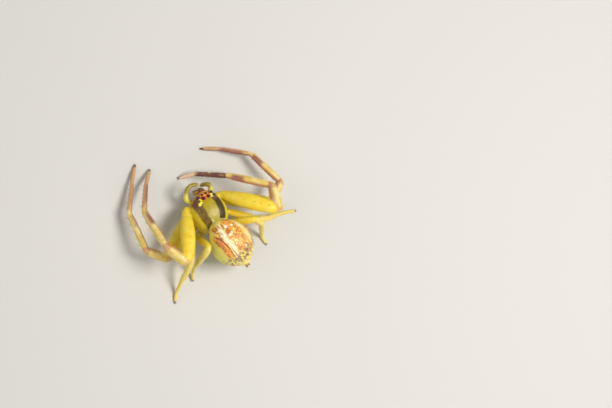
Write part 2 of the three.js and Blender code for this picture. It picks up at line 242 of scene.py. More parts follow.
def round_corners(corners, reach):
    """The corners of a line, each cut off twice, so that a tube bends softly there."""
    route = [corners[0]]
    for before, corner, after in zip(corners, corners[1:], corners[2:]):
        back = (before - corner).normalized() * min(reach, (before - corner).length * CORNER_SHARE)
        on = (after - corner).normalized() * min(reach, (after - corner).length * CORNER_SHARE)
        route += [corner + back, corner + (back + on) * CORNER_CUT, corner + on]
    return route + [corners[-1]]


def length_of(route):
    return sum((b - a).length for a, b in zip(route, route[1:]))


# %% [markdown]
# ## The legs and palps
# The femur is the fat thigh, bowed a little and flatter than it is wide. The patella is a short knee piece,
# and the tibia, metatarsus and tarsus grow thinner to the claws. At each joint the leg narrows, because
# there it is a soft fold of membrane and not shell. A leg is one tube with these radii along it.
#
# A place along a leg is its station: the whole part is the segment, from 0 for the coxa to 5 for the
# tarsus, and the rest is the share along it. So 1 is the hip, 2 the knee and 6 the tip.

# %% Radii along a leg
JOINT_PINCH, PINCH_REACH = 0.13, 0.06
COXA_IN_TUBE, COXA_GIRTH = 0.35, 0.9
CORNER_REACH = 0.13
RING_STEP, FEWEST_RINGS, RING_MARGIN = 0.3, 6, 0.03
LEG_SIDES, ROUND_SIDES = 18, 14


def swelling(radii, share):
    root, middle, end = radii
    return root + (end - root) * share + (middle - (root + end) / 2) * math.sin(math.pi * share)


def leg_radius(pair, station):
    segment = min(int(station), 5)
    share = station - segment
    radii = (LONG_RADII if pair <= 2 else SHORT_RADII)[segment]
    to_joint = min(share if segment > 1 else 1, 1 - share if segment < 5 else 1)
    pinch = JOINT_PINCH * math.exp(-((to_joint / PINCH_REACH) ** 2))
    return swelling(radii, share) * LEG_GIRTH[pair] * (1 - pinch)


def leg_profile(pair, side, whole):
    """Marks and radii along a leg's tube of this whole length, and where its thigh begins and ends."""
    joints = LEGS[pair, side]
    lengths = [(b - a).length for a, b in zip(joints, joints[1:])]
    reached = lengths[0] * COXA_IN_TUBE
    thigh = (reached, reached + lengths[1])
    scale = (whole - reached) / sum(lengths[1:])
    marks = [reached * step / 4 for step in range(4)]
    radii = [leg_radius(pair, 1 - COXA_IN_TUBE + COXA_IN_TUBE * step / 4) * COXA_GIRTH for step in range(4)]
    for segment in range(1, 6):
        steps = max(FEWEST_RINGS, round(lengths[segment] / RING_STEP))
        inside = [(k + 0.5) / steps for k in range(steps)]
        for share in (RING_MARGIN, *inside, 1 - RING_MARGIN):
            marks.append(reached + lengths[segment] * scale * share)
            radii.append(leg_radius(pair, segment + share))
        reached += lengths[segment] * scale
    marks += [whole - 0.02, whole - 0.002]
    radii += [radii[-1] * 0.8, radii[-1] * 0.45]
    return marks, radii, thigh


# %% Leg tubes


def flatten_thigh(tube, start, end):
    only(tube)
    edit_all("DESELECT")
    end_edit()
    for vertex in tube.data.vertices:
        vertex.select = start < vertex.co.x < end
    bpy.ops.object.mode_set(mode="EDIT")
    bpy.ops.transform.resize(value=(1, 1, FEMUR_THICKNESS), center_override=(0, 0, 0))
    end_edit()


def leg_tube(pair, side):
    root, hip, *rest = LEGS[pair, side]
    bow = [femur_point(pair, side, share) for share in (0.2, 0.4, 0.6, 0.8)]
    route = round_corners([hip.lerp(root, COXA_IN_TUBE), hip, *bow, *rest], CORNER_REACH)
    marks, radii, thigh = leg_profile(pair, side, length_of(route))
    tube = straight_tube(f"tube_{pair}_{side}", marks, radii, LEG_SIDES)
    flatten_thigh(tube, *thigh)
    return bend_along(tube, route)


tubes = [leg_tube(pair, side) for pair, side in LEGS]
print("legs drawn out:", len(tubes))

# %% Palps and waist
PALP_ROUTES = {
    1: [[1.0, 0.48, 1.0], [1.64, 1.14, 1.3], [2.2, 1.05, 1.6], [2.54, 0.6, 1.68], [2.4, -0.12, 1.5]],
    -1: [[1.0, 0.48, 1.0], [1.4, 0.88, 1.18], [1.86, 1.02, 1.42], [2.12, 0.82, 1.25], [2.14, 0.56, 0.66]],
}
PALP_RADII = [0.16, 0.19, 0.2, 0.17, 0.2, 0.2, 0.16, 0.19, 0.18, 0.15, 0.17, 0.16, 0.09]
WAIST_ROUTE = [place(-0.3, 0, 1.15), place(-1.4, -0.1, 1.2), place(-2.6, -0.35, 1.6)]
WAIST_MARKS, WAIST_RADII = [0, 0.5, 1.2, 2.3], [0.3, 0.26, 0.26, 0.3]


def smooth_route(points, steps=4):
    """A Catmull-Rom line through the points."""
    ends = [points[0] * 2 - points[1], *points, points[-1] * 2 - points[-2]]
    route = []
    for a, b, c, d in zip(ends, ends[1:], ends[2:], ends[3:]):
        for k in range(steps):
            t = k / steps
            route.append(0.5 * (b * 2 + (c - a) * t + (a * 2 - b * 5 + c * 4 - d) * t**2
                                + (b * 3 - a - c * 3 + d) * t**3))
    return route + [points[-1]]


PALPS = {side: smooth_route([place(f, side * l, u) for f, l, u in PALP_ROUTES[side]]) for side in SIDES}
for side, route in PALPS.items():
    whole = length_of(route)
    marks = [whole * k / (len(PALP_RADII) - 1) for k in range(len(PALP_RADII))]
    tubes.append(bend_along(straight_tube(f"palp_{side}", marks, PALP_RADII, ROUND_SIDES), route))
tubes.append(bend_along(straight_tube("waist", WAIST_MARKS, WAIST_RADII, ROUND_SIDES), WAIST_ROUTE))
print("palps and waist drawn out")

# %% [markdown]
# ## The body under the skin
# Carapace, sternum, abdomen and coxae are broad forms whose solids are already right but faceted. A copy of
# each is merged and taken into the skin, where the remesh turns the facets into a smooth surface.

# %% Copies of the broad forms
MERGE_REACH = 0.002


def resize_mesh(piece, factor, centre=(0, 0, 0)):
    only(piece)
    edit_all()
    bpy.ops.transform.resize(value=(factor,) * 3, center_override=centre)
    end_edit()


def copy_of_node(node, name):
    """A node's mesh as a piece of its own, in millimetres and merged."""
    piece = frame["nodes"][node].copy()
    piece.data = piece.data.copy()
    piece.parent = None
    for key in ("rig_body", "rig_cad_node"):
        if key in piece:
            del piece[key]
    piece.name = name
    bpy.context.collection.objects.link(piece)
    resize_mesh(piece, 1 / MM)
    edit_all()
    bpy.ops.mesh.remove_doubles(threshold=MERGE_REACH)
    end_edit()
    return piece


BROAD = ["carapace", "sternum", "abdomen", "spinnerets"]
BROAD += [f"leg{pair}_{side}_coxa" for pair in LEG_LENGTHS for side in SIDES.values()]
broad_forms = [copy_of_node(node, "form_" + node) for node in BROAD]
print("broad forms copied:", len(broad_forms))

# %% [markdown]
# ## One skin
# Joined tubes would show a seam wherever they cross. A voxel remesh makes one surface of the whole, and a
# light smoothing takes off the steps it leaves. A sculptor would do the same after blocking out.

# %% Join, remesh and smooth
VOXEL = 0.056
SMOOTH_ROUNDS = 5


def joined(pieces, name):
    only(pieces[0])
    for piece in pieces:
        piece.select_set(True)
    bpy.ops.object.join()
    pieces[0].name = name
    return pieces[0]


skin = joined(broad_forms + tubes, "skin")
skin.data.materials.clear()
remesh = skin.modifiers.new("remesh", "REMESH")
remesh.mode = "VOXEL"
remesh.voxel_size = VOXEL
soften = skin.modifiers.new("soften", "SMOOTH")
soften.factor = 0.5
soften.iterations = SMOOTH_ROUNDS
apply_all(skin)
bpy.ops.object.shade_smooth()
print("skin quads", len(skin.data.polygons))

# %% [markdown]
# ## Where a point is on the animal
# The markings follow the anatomy: rings sit at fixed places along a leg, and bands on the back. So each
# point of the skin is told which form it belongs to and how far along that form it lies. Its form is the
# one whose middle it is nearest to, measured in that form's own radii. Hairs ask the same question for
# their roots, and so they carry the same markings as the skin under them.

# %% How near a point is to the body's forms
SHIELD = ((CARAPACE_FORWARD, 0, 1.2), (1.67, 1.45, 1.35))
UNDERSIDE = ((0, 0, 1.1), (1.15, 0.75, 0.5))
ABDOMEN_FRONT, ABDOMEN_TAIL = place(-0.6, 0.35, 2.72), place(-4.5, -1.08, 1.9)
ABDOMEN_HALF = (1.64, 1.47)
ABDOMEN_SWELL, BLUNT_FRONT, FINER_TAIL = 1.03, 0.5, 0.32
PAST_FRONT, PAST_TAIL = 3, 2
ABDOMEN_FIRST = 0.97
ELSEWHERE = -1


def off_ellipsoid(body, middle, half):
    """1 on the surface, less inside it and more outside."""
    return np.linalg.norm((body - middle) / half, axis=1)


def off_abdomen(points):
    """The same for the abdomen, then the share along it, across and height, and its way back."""
    back = np.array(ABDOMEN_TAIL - ABDOMEN_FRONT)
    long = np.linalg.norm(back)
    back /= long
    leftwards = np.cross(back, UPRIGHT)
    leftwards /= np.linalg.norm(leftwards)
    above = np.cross(leftwards, back)
    away = points - np.array(ABDOMEN_FRONT)
    share, across, height = away @ back / long, away @ leftwards, away @ above
    belly = np.stack([share, across / ABDOMEN_HALF[0], height / ABDOMEN_HALF[1]], axis=1)
    bulge = np.maximum(np.sin(np.pi * np.clip(share, 0.01, 0.99) ** ABDOMEN_SWELL), 0.02)
    width = bulge ** (BLUNT_FRONT + FINER_TAIL * np.clip(share, 0, 1))
    past = np.maximum(-share, 0) * PAST_FRONT + np.maximum(share - 1, 0) * PAST_TAIL
    off = np.hypot(belly[:, 1], belly[:, 2]) / width + past
    return off * ABDOMEN_FIRST, belly, back


# %% Place every point on its form
PALP_PAIR, PALP_RADIUS = 5, 0.18
COXA_LAST = 0.12
NO_DISTANCE = 1e-6


def limb_lines():
    """Each leg and palp as pair, side and stops: a station and its place."""
    lines = []
    for (pair, side), joints in LEGS.items():
        bow = [(1 + share, femur_point(pair, side, share)) for share in (0.25, 0.5, 0.75)]
        lines.append((pair, side, sorted([*enumerate(joints), *bow], key=lambda stop: stop[0])))
    for side, route in PALPS.items():
        lines.append((PALP_PAIR, side, [(6 * k / (len(route) - 1), at) for k, at in enumerate(route)]))
    return lines


def locate(points):
    """For points in mm: where each lies, on which limb and side of it, and the lie of hair there."""
    body = body_places(points)
    to_body = np.minimum(off_ellipsoid(body, *SHIELD), off_ellipsoid(body, *UNDERSIDE))
    to_abdomen, belly, back = off_abdomen(points)
    is_abdomen = to_abdomen < to_body
    belly[~is_abdomen, 0] = ELSEWHERE
    nearest = np.minimum(to_body, to_abdomen)
    found = {name: np.zeros(len(points)) for name in ("station", "upper", "inner", "pair", "side")}
    found["lie"] = np.where(is_abdomen[:, None], back, [0.0, 1.0, 0.0])
    for pair, side, stops in limb_lines():
        for (start, a), (end, b) in zip(stops, stops[1:]):
            a, step = np.array(a), np.array(b) - np.array(a)
            share = np.clip((points - a) @ step / (step @ step), 0, 1)
            off = points - a - share[:, None] * step
            distance = np.linalg.norm(off, axis=1)
            radius = PALP_RADIUS if pair == PALP_PAIR else leg_radius(pair, (start + end) / 2)
            score = distance / radius + (COXA_LAST if start < 1 else 0)
            better = score < nearest
            nearest[better] = score[better]
            outwards = off[better] / np.maximum(distance[better], NO_DISTANCE)[:, None]
            inwards = np.cross(step, UPRIGHT) * side
            found["station"][better] = (start + (end - start) * share)[better]
            found["upper"][better] = outwards[:, 2]
            found["inner"][better] = outwards @ inwards / np.linalg.norm(inwards)
            found["pair"][better] = pair
            found["side"][better] = side
            found["lie"][better] = step / np.linalg.norm(step)
            belly[better, 0] = ELSEWHERE
    return {**found, "belly": belly, "spot": body}


# %% Store the places
PLACES = ("station", "upper", "inner", "pair", "side", "belly", "spot")


def write_places(mesh, found):
    """Stores the places as attributes of a mesh, for its material."""
    stored = {
        "limb": np.stack([found["station"], found["upper"], found["pair"]], axis=1),
        "belly": found["belly"],
        "spot": found["spot"],
        "turned": np.stack([found["side"], found["inner"], found["side"] * 0], axis=1),
    }
    for name, values in stored.items():
        attribute = mesh.attributes.new(name, "FLOAT_VECTOR", "POINT")
        attribute.data.foreach_set("vector", values.astype(np.float32).ravel())


def numbers_of(items, field, width, kind=float):
    """A field of many mesh items at once, in rows of this width."""
    values = np.zeros(len(items) * width, dtype=kind)
    items.foreach_get(field, values)
    return values.reshape(-1, width)


found = locate(numbers_of(skin.data.vertices, "co", 3))
write_places(skin.data, found)
print("skin points on limbs", int((found["pair"] > 0).sum()))
print("skin points on the abdomen", int((found["belly"][:, 0] > -0.9).sum()))

# %% [markdown]
# ## Shader maths as plain sums
# Markings are masks: one where a band is, nought elsewhere. Written as Python sums they read like the
# sentence that describes them. This small class wraps a socket, and each sum adds its Math node.

# %% The socket class
VIVID = 1.2
DARKEST, LIGHTEST = 4, 250


def colour(red, green, blue):
    """A screen colour, 0 to 255, as the linear colour that a shader uses, made stronger by VIVID."""
    grey = (red + green + blue) / 3
    strong = [min(max(grey + (v - grey) * VIVID, DARKEST), LIGHTEST) / 255 for v in (red, green, blue)]
    return tuple(((v + 0.055) / 1.055) ** 2.4 for v in strong) + (1.0,)


class Reading:
    def __init__(self, tree, socket=None):
        self.tree, self.socket = tree, socket

    def node(self, kind, settings, inputs, out=0):
        """Any node: its settings first, then the values or links of its sockets."""
        new = self.tree.nodes.new(kind)
        for name, value in settings.items():
            setattr(new, name, value)
        for name, value in inputs.items():
            if isinstance(value, Reading):
                self.tree.links.new(value.socket, new.inputs[name])
            else:
                new.inputs[name].default_value = value
        return Reading(self.tree, new.outputs[out])

    def feed(self, shader, name):
        self.tree.links.new(self.socket, shader.inputs[name])

    def math(self, operation, *values):
        return self.node("ShaderNodeMath", {"operation": operation}, dict(enumerate(values)))

    def __add__(self, other):
        return self.math("ADD", self, other)

    def __sub__(self, other):
        return self.math("SUBTRACT", self, other)

    def __rsub__(self, other):
        return self.math("SUBTRACT", other, self)

    def __mul__(self, other):
        return self.math("MULTIPLY", self, other)

    def __truediv__(self, other):
        return self.math("DIVIDE", self, other)

    __radd__, __rmul__ = __add__, __mul__

    def size(self):
        return self.math("ABSOLUTE", self)

    def over(self, low, high):
        """0 below low, 1 above high, smooth between. With low above high it falls."""
        return self.node("ShaderNodeMapRange", {"interpolation_type": "SMOOTHSTEP", "clamp": True},
                         {"Value": self, "From Min": low, "From Max": high})

    def near(self, at, reach):
        """1 at this value, 0 from reach on."""
        return (self - at).size().over(reach, reach * 0.45)

    def dye(self, ground, other):
        """The ground colour, with another laid on where this mask is."""
        return self.node("ShaderNodeMix", {"data_type": "RGBA"}, {0: self, 6: ground, 7: other}, out=2)


# %% [markdown]
# ## The markings
# Carapace: a pale middle stripe between two dark olive-brown bands, pale sides, rust-red, cream and
# yellow patches round the eyes and a painted yellow highlight at her left rear side eye. Abdomen: cream and
# yellow with rust-brown and white bands that run back from the front, and a mottled tail. Legs: yellow
# thighs, then rose and brown rings at the joints, darker towards the feet. All of it reads the places stored
# before, so skin and hair agree.
#
# A colour given as a pair is mottled: a noise picks between the two. Three noises, coarse, fine and grain,
# are shared by all the forms, and a wobble made of the coarse one keeps the edges from being ruled lines.

# %% What a material reads at a point


class Here:
    def __init__(self, tree):
        self.start = Reading(tree)
        self.spot, self.belly = self.stored("spot"), self.stored("belly")
        self.forward, self.left, self.up = self.parts(self.spot)
        self.station, self.upper, self.pair = self.parts(self.stored("limb"))
        self.along, self.across, self.height = self.parts(self.belly)
        self.side, self.inner, _ = self.parts(self.stored("turned"))
        self.coarse = self.noise(self.spot, 1.6)
        self.fine = self.noise(self.spot, 5.5, 3.0)
        self.grain = self.noise(self.spot, 14.0)
        self.wobble = (self.coarse - 0.5) * 0.35

    def stored(self, name):
        return self.start.node("ShaderNodeAttribute", {"attribute_name": name}, {}, "Vector")

    def parts(self, vector):
        return [self.start.node("ShaderNodeSeparateXYZ", {}, {0: vector}, k) for k in range(3)]

    def noise(self, vector, scale, detail=2.0):
        return self.start.node("ShaderNodeTexNoise", {}, {"Vector": vector, "Scale": scale, "Detail": detail})

    def dots(self, scale):
        """How far the nearest of many scattered points is."""
        return self.start.node("ShaderNodeTexVoronoi", {}, {"Vector": self.spot, "Scale": scale}, "Distance")

    def vector(self, operation, first, second, out="Vector"):
        return self.start.node("ShaderNodeVectorMath", {"operation": operation}, {0: first, 1: second}, out)


# %% Colours of the carapace and underside
OLIVE_SIDES = colour(190, 172, 40), colour(212, 196, 66)
MIDDLE_STRIPE = colour(160, 142, 22), colour(184, 166, 36)
BAND, BAND_RIGHT = (colour(66, 44, 6), colour(126, 96, 30)), colour(36, 22, 4)
FACE_RUST = colour(182, 78, 20), colour(240, 158, 52)
FACE_CREAM, FOREHEAD, UNDER_CREAM = colour(255, 226, 130), colour(206, 176, 84), colour(214, 204, 104)
# the eye it sits at, its shift from there (forward, left, up), its radius and its colour
EYE_PATCHES_AND_HIGHLIGHT = [
    ("rear_side_left", (0, 0.26, -0.2), 0.5, colour(112, 68, 52)),
    ("front_side_left", (0, 0.05, 0), 0.36, colour(132, 80, 66)),
    ("rear_side_right", (-0.1, 0, 0), 0.4, colour(96, 60, 40)),
    ("front_side_right", (0, 0, 0), 0.3, colour(150, 84, 50)),
    # these two bright yellow spots at her left rear side eye are a painted highlight
    ("rear_side_left", (-0.04, -0.08, 0), 0.22, colour(255, 222, 40)),
    ("rear_side_left", (-0.24, 0.02, 0), 0.16, colour(255, 234, 110)),
    ("rear_side_right", (0.05, 0.2, 0), 0.2, colour(252, 222, 110)),
]
for row, radius, ring in (("rear", 0.19, colour(118, 20, 10)), ("front", 0.14, colour(150, 50, 16))):
    EYE_PATCHES_AND_HIGHLIGHT += [(f"{row}_middle_{side}", (0, 0, 0), radius, ring) for side in SIDES.values()]


def shield_colour(here):
    """Stripe and bands by their distance from the middle line, then face, eye patches, a painted highlight at
    the left rear side eye, and underside.
    """
    forward, up, fine, grain = here.forward, here.up, here.fine, here.grain
    reach = (here.left - 0.06).size() + here.wobble * 0.5
    stripe_half = forward.over(-1.55, 0.3) * 0.44 + 0.02
    beyond = reach - stripe_half
    band = beyond.over(-0.04, 0.06) * beyond.over(0.66, 0.52) * up.over(1.3, 1.6)
    dark = (fine + grain * 0.6 - 0.1).over(0.45, 0.95).dye(*BAND)
    dark = here.left.over(0.3, -0.3).dye(dark, BAND_RIGHT)
    stripe = here.coarse.dye(*MIDDLE_STRIPE)
    shield = (stripe_half - reach).over(-0.05, 0.05).dye(fine.dye(*OLIVE_SIDES), stripe)
    shield = (band * forward.over(1.45, 1.15) * 0.94).dye(shield, dark)
    face = forward.over(1.12, 1.3) * up.over(1.5, 1.75)
    shield = (face * 0.9).dye(shield, fine.over(0.4, 0.6).dye(*FACE_RUST))
    shield = (face * grain.over(0.55, 0.68)).dye(shield, FACE_CREAM)
    shield = (forward.over(1.45, 1.6) * up.over(1.9, 1.6) * 0.8).dye(shield, FOREHEAD)
    # eye patches, and at her left rear side eye a painted yellow highlight
    for eye, shift, radius, tint in EYE_PATCHES_AND_HIGHLIGHT:
        middle = body_places(np.array([node_middle("eye_" + eye)]))[0] + np.array(shift)
        distance = here.vector("DISTANCE", here.spot, tuple(float(v) for v in middle), "Value")
        shield = (distance + here.wobble * 0.25).over(radius, radius * 0.7).dye(shield, tint)
    return up.over(1.25, 1.05).dye(shield, UNDER_CREAM)


# %% Colours of the abdomen
CREAM = colour(236, 214, 96), colour(246, 234, 150)
GREEN_FLANK, PALE_FRONT, PALE_BELLY = colour(222, 216, 120), colour(226, 218, 130), colour(226, 214, 130)
RUST = colour(146, 78, 48), colour(230, 152, 86)
CHALK = colour(240, 210, 110), colour(255, 252, 214)
RUST_GAPS, CHALK_GAPS, HEART_GAPS = colour(240, 206, 104), colour(214, 134, 70), colour(236, 184, 80)
WHITE_DOTS = colour(248, 240, 220)
FIBRE_STRETCH = (2.2, 11.0, 2.0)
TAIL_BROWN, TAIL_YELLOW, TAIL_CREAM = colour(128, 82, 78), colour(242, 226, 116), colour(250, 240, 190)
TAIL_END, SPINNERETS = colour(242, 230, 130), colour(150, 112, 60)


def abdomen_bands(here, coat, lane, broken):
    """Rust bands outside, white ones inside them and a rust heart mark with white dots in the middle."""
    along, height = here.along, here.height
    streaks = here.noise(here.vector("MULTIPLY", here.belly, FIBRE_STRETCH), 1.0, 3.0)
    rust = streaks.over(0.36, 0.58).dye(*RUST)
    outer = lane.near(0.77, 0.2) * along.over(0.01, 0.05) * along.over(0.74, 0.6) * height.over(-0.1, 0.1)
    coat = (outer * streaks.over(0.66, 0.56) * broken.over(0.3, 0.42)).dye(coat, rust)
    coat = (outer * broken.over(0.58, 0.64)).dye(coat, RUST_GAPS)
    white = lane.near(0.5, 0.17) * along.over(0.01, 0.04) * along.over(0.72, 0.58) * height.over(0.0, 0.15)
    chalk = streaks.over(0.36, 0.5).dye(*CHALK)
    coat = (white * (1 - broken.over(0.6, 0.68) * 0.8)).dye(coat, chalk)
    coat = (white * streaks.over(0.56, 0.62)).dye(coat, CHALK_GAPS)
    heart = lane.over(0.42, 0.32) * along.over(0.01, 0.05) * along.over(0.8, 0.62) * height.over(0.0, 0.15)
    coat = (heart * here.fine.over(0.36, 0.46) * broken.over(0.34, 0.44)).dye(coat, rust)
    coat = (heart * broken.over(0.5, 0.6) * 0.7).dye(coat, HEART_GAPS)
    dots = here.dots(2.0).over(0.36, 0.26) * lane.over(0.4, 0.25) * height.over(0.1, 0.2)
    return dots.dye(coat, WHITE_DOTS)


def abdomen_tail(here, coat, broken):
    """Purple-brown broken up by yellow and cream, down to the spinnerets."""
    along, height, grain = here.along, here.height, here.grain
    tail = (along + here.wobble * 0.3).over(0.54, 0.66) * height.over(-0.3, 0.1)
    patches = here.noise(here.spot, 4.4)
    coat = (tail * broken.over(0.38, 0.46) * 0.92).dye(coat, TAIL_BROWN)
    coat = (tail * (patches * 0.8 + grain * 0.2).over(0.49, 0.43) * 0.95).dye(coat, TAIL_YELLOW)
    coat = (tail * grain.over(0.56, 0.64) * 0.8).dye(coat, TAIL_CREAM)
    coat = (tail * along.over(0.74, 0.9) * here.fine.over(0.6, 0.5)).dye(coat, TAIL_END)
    coat = height.over(-0.3, -0.75).dye(coat, PALE_BELLY)
    return along.over(0.985, 1.02).dye(coat, SPINNERETS)


def abdomen_colour(here):
    along = here.along
    broken = here.noise(here.spot, 3.2, 3.0)
    sway = (here.across + (1 - along) * 0.28).size() + here.wobble * 0.25 + broken * 0.16 - 0.08
    girth = along.over(-0.3, 0.25) * along.over(1.2, 0.6)
    lane = sway / girth.math("MAXIMUM", girth, 0.3)
    coat = sway.over(0.55, 0.95).dye(here.coarse.over(0.4, 0.6).dye(*CREAM), GREEN_FLANK)
    coat = (here.height + along * 2).over(0.2, 0.0).dye(coat, PALE_FRONT)
    return abdomen_tail(here, abdomen_bands(here, coat, lane, broken), broken)


# %% Colours of the legs and palps
COXA, THIGH_UNDER = colour(206, 196, 84), colour(216, 196, 72)
THIGH = colour(234, 206, 64), colour(238, 216, 92)
REAR_SHIN, LONG_SHIN = colour(226, 206, 118), (colour(220, 194, 108), colour(236, 218, 156))
ROSE, BROWN = colour(194, 134, 108), (colour(112, 68, 62), colour(166, 116, 104))
METATARSUS, TARSUS, FOOT_TIP = colour(208, 170, 122), colour(202, 166, 122), colour(96, 62, 40)
INNER_EDGE, INNER_EDGE_FOOT = colour(180, 118, 104), colour(142, 88, 82)
FRECKLES, PALE_DOTS = colour(70, 38, 34), colour(250, 240, 170)
RIGHT_METATARSUS, RIGHT_TARSUS = colour(96, 58, 52), colour(232, 204, 178)
PALP = colour(220, 210, 108), colour(156, 138, 56)


def leg_ground(here, long_leg):
    """Yellow thighs with a deeper yellow underside, and paler segments past the knee."""
    mottle = here.coarse.over(0.35, 0.65)
    leg = here.upper.over(-0.2, 0.7).dye(THIGH_UNDER, mottle.dye(*THIGH))
    leg = here.station.over(1.0, 0.7).dye(leg, COXA)
    shin = long_leg.dye(REAR_SHIN, mottle.dye(*LONG_SHIN))
    return here.station.over(1.93, 2.08).dye(leg, shin)


def long_leg_marks(here, leg, long_leg):
    """Rose at the knee, brown on tibia and metatarsus, most on the inner side and least on left leg II."""
    station, grain, wobble = here.station, here.grain, here.wobble
    inner = here.inner + wobble
    left_second = here.side.over(0.4, 0.6) * here.pair.near(2.0, 0.5)
    depth = long_leg * (1 - left_second * 0.45) * inner.over(-0.9, -0.1)
    brown = grain.over(0.35, 0.65).dye(*BROWN)
    rings = station.near(2.97, 0.12) * 0.6 + station.near(2.0, 0.05) * 0.45
    leg = (rings * long_leg).dye(leg, ROSE)
    leg = ((station + wobble * 0.35).near(3.78, 0.2) * depth * 0.95).dye(leg, brown)
    leg = (station.over(4.0, 4.12) * long_leg).dye(leg, METATARSUS)
    metatarsus = (station + wobble * 0.4).over(4.12, 4.4) * station.over(5.02, 4.9)
    leg = (metatarsus * depth * 0.82).dye(leg, brown)
    leg = (station.over(4.95, 5.05) * long_leg).dye(leg, TARSUS)
    leg = station.over(5.8, 5.97).dye(leg, FOOT_TIP)
    edge = inner.over(0.2, 0.75) * station.over(2.2, 2.6) * long_leg
    leg = (edge * 0.7).dye(leg, station.over(3.95, 4.1).dye(INNER_EDGE, INNER_EDGE_FOOT))
    leg = (here.dots(5.0).over(0.2, 0.12) * station.over(2.9, 3.1) * depth * 0.8).dye(leg, FRECKLES)
    return (here.dots(6.5).over(0.22, 0.12) * station.over(3.2, 2.9) * 0.35).dye(leg, PALE_DOTS)


def leg_colour(here):
    """The marks of all legs, then right leg I, whose metatarsus is dark all round, and the palps."""
    station, pair = here.station, here.pair
    long_leg = pair.over(2.6, 2.4)
    leg = long_leg_marks(here, leg_ground(here, long_leg), long_leg)
    right_first = here.side.over(-0.4, -0.6) * pair.near(1.0, 0.5)
    metatarsus = station.over(4.02, 4.1) * station.over(5.03, 4.93) * here.fine.over(0.3, 0.5)
    leg = (right_first * metatarsus * 0.9).dye(leg, RIGHT_METATARSUS)
    leg = (right_first * station.over(4.98, 5.06) * 0.9).dye(leg, RIGHT_TARSUS)
    return pair.over(4.4, 4.6).dye(leg, station.over(2.4, 3.4).dye(*PALP))


# %% The skin's material


def markings(here):
    """The animal's colour: the carapace's, then the abdomen's, then a limb's where a point is on one."""
    body = here.along.over(-0.6, -0.4).dye(shield_colour(here), abdomen_colour(here))
    return here.pair.over(0.4, 0.6).dye(body, leg_colour(here))


def new_material(name, sockets):
    """A material with these values on its shader's own sockets, and the shader."""
    material = bpy.data.materials.new(name)
    material.use_nodes = True
    shader = next(node for node in material.node_tree.nodes if node.type == "BSDF_PRINCIPLED")
    for socket, value in sockets.items():
        shader.inputs[socket].default_value = value
    return material, shader


skin_material, shader = new_material("spider_skin", {
    "Roughness": 0.42, "Coat Weight": 0.12, "Coat Roughness": 0.3, "Subsurface Weight": 0.2,
    "Subsurface Radius": (1.0, 0.85, 0.5), "Subsurface Scale": 0.00012})
here = Here(skin_material.node_tree)
markings(here).feed(shader, "Base Color")
relief = {"Height": here.fine * 0.6 + here.grain * 0.4, "Strength": 0.35, "Distance": 0.00003}
here.start.node("ShaderNodeBump", {}, relief).feed(shader, "Normal")
skin.data.materials.append(skin_material)
print("skin material nodes", len(skin_material.node_tree.nodes))

# %% [markdown]
# ## Handing a piece over
# A finished piece is made a thousand times smaller, so that it is in metres, and rides on the one body
# of this still model. It replaces the plain solids that it stands for.

# %% Finish a piece


def finish_piece(piece, nodes=()):
    resize_mesh(piece, MM)
    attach(piece, "root")
    if nodes:
        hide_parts(*nodes)


# %% [markdown]
# ## Eyes
# Eight small, simple eyes, glossy and nearly black, two rows of four. The side eyes stand on low swellings.
# The solids hold each as a faceted ball, and a subdivided copy is a clean, round lens. It is made a tenth
# larger, because the subdivision shrinks it and the remeshed skin stands a little higher than the solid.

# %% Eight lenses
LENS_GROWTH = 1.1


def mottled(material, shader, scale, first, second):
    """A base colour that wanders between two. The scale is for a piece in metres."""
    start = Reading(material.node_tree)
    position = start.node("ShaderNodeTexCoord", {}, {}, "Object")
    patches = start.node("ShaderNodeTexNoise", {}, {"Vector": position, "Scale": scale, "Detail": 3.0})
    patches.over(0.4, 0.62).dye(first, second).feed(shader, "Base Color")


def rounded_copy(node, name, material):
    """A copy of a node, subdivided twice, shaded smooth and in its own material."""
    piece = copy_of_node(node, name)
    rounder = piece.modifiers.new("rounder", "SUBSURF")
    rounder.levels = rounder.render_levels = 2
    apply_all(piece)
    bpy.ops.object.shade_smooth()
    piece.data.materials.clear()
    piece.data.materials.append(material)
    return piece


lens_material, shader = new_material("eye_lens", {"Roughness": 0.08, "Coat Weight": 0.6})
mottled(lens_material, shader, 9000.0, colour(34, 14, 8), colour(24, 12, 12))
EYE_NODES = [node for node in frame["nodes"] if node.startswith("eye_")]
for node in EYE_NODES:
    lens = rounded_copy(node, node.replace("eye_", "lens_"), lens_material)
    resize_mesh(lens, LENS_GROWTH, node_middle(node))
    finish_piece(lens, [node])
print("lenses", len(EYE_NODES))

# %% [markdown]
# ## Chelicerae and fangs
# Under the face hang two stout basal pieces, each with a small curved fang folded below. The basal pieces
# are shell of their own, so they stay separate from the skin and only get a finer surface.

# %% Chelicerae
shell_material, shader = new_material("chelicera_shell", {"Roughness": 0.35})
mottled(shell_material, shader, 2600.0, colour(176, 142, 76), colour(132, 94, 60))
for side in SIDES.values():
    basal = rounded_copy("chelicera_" + side, "basal_" + side, shell_material)
    finish_piece(basal, ["chelicera_" + side])
print("chelicerae finished")

# %% [markdown]
# ## Claws and fangs
# Each foot ends in two small dark claws, curved down, and each chelicera in a fang. All are one kind of
# shape: a tapering tube bent along an arc. One helper draws it out from its root, its tip and its arch.

# %% Claws
CLAW_INSET, CLAW_APART, CLAW_LIFT, CLAW_LENGTH, CLAW_TIP = 0.04, 0.035, 0.03, 0.15, 0.012
CLAW_ARCH, CLAW_THICK = UPRIGHT * 0.05, 0.026
FANG_ROOT, FANG_TIP, FANG_THICK = (1.94, 0.2, 0.86), (1.82, 0.04, 0.66), 0.06
FANG_ARCH = place(0.06, 0, 0) - place(0, 0, 0)
HOOK_SHARES, HOOK_TAPER = (0, 0.25, 0.5, 0.75, 0.98), (1, 0.95, 0.75, 0.45, 0.08)
horn_material, shader = new_material("horn", {"Roughness": 0.25})
mottled(horn_material, shader, 7000.0, colour(62, 36, 22), colour(40, 24, 18))


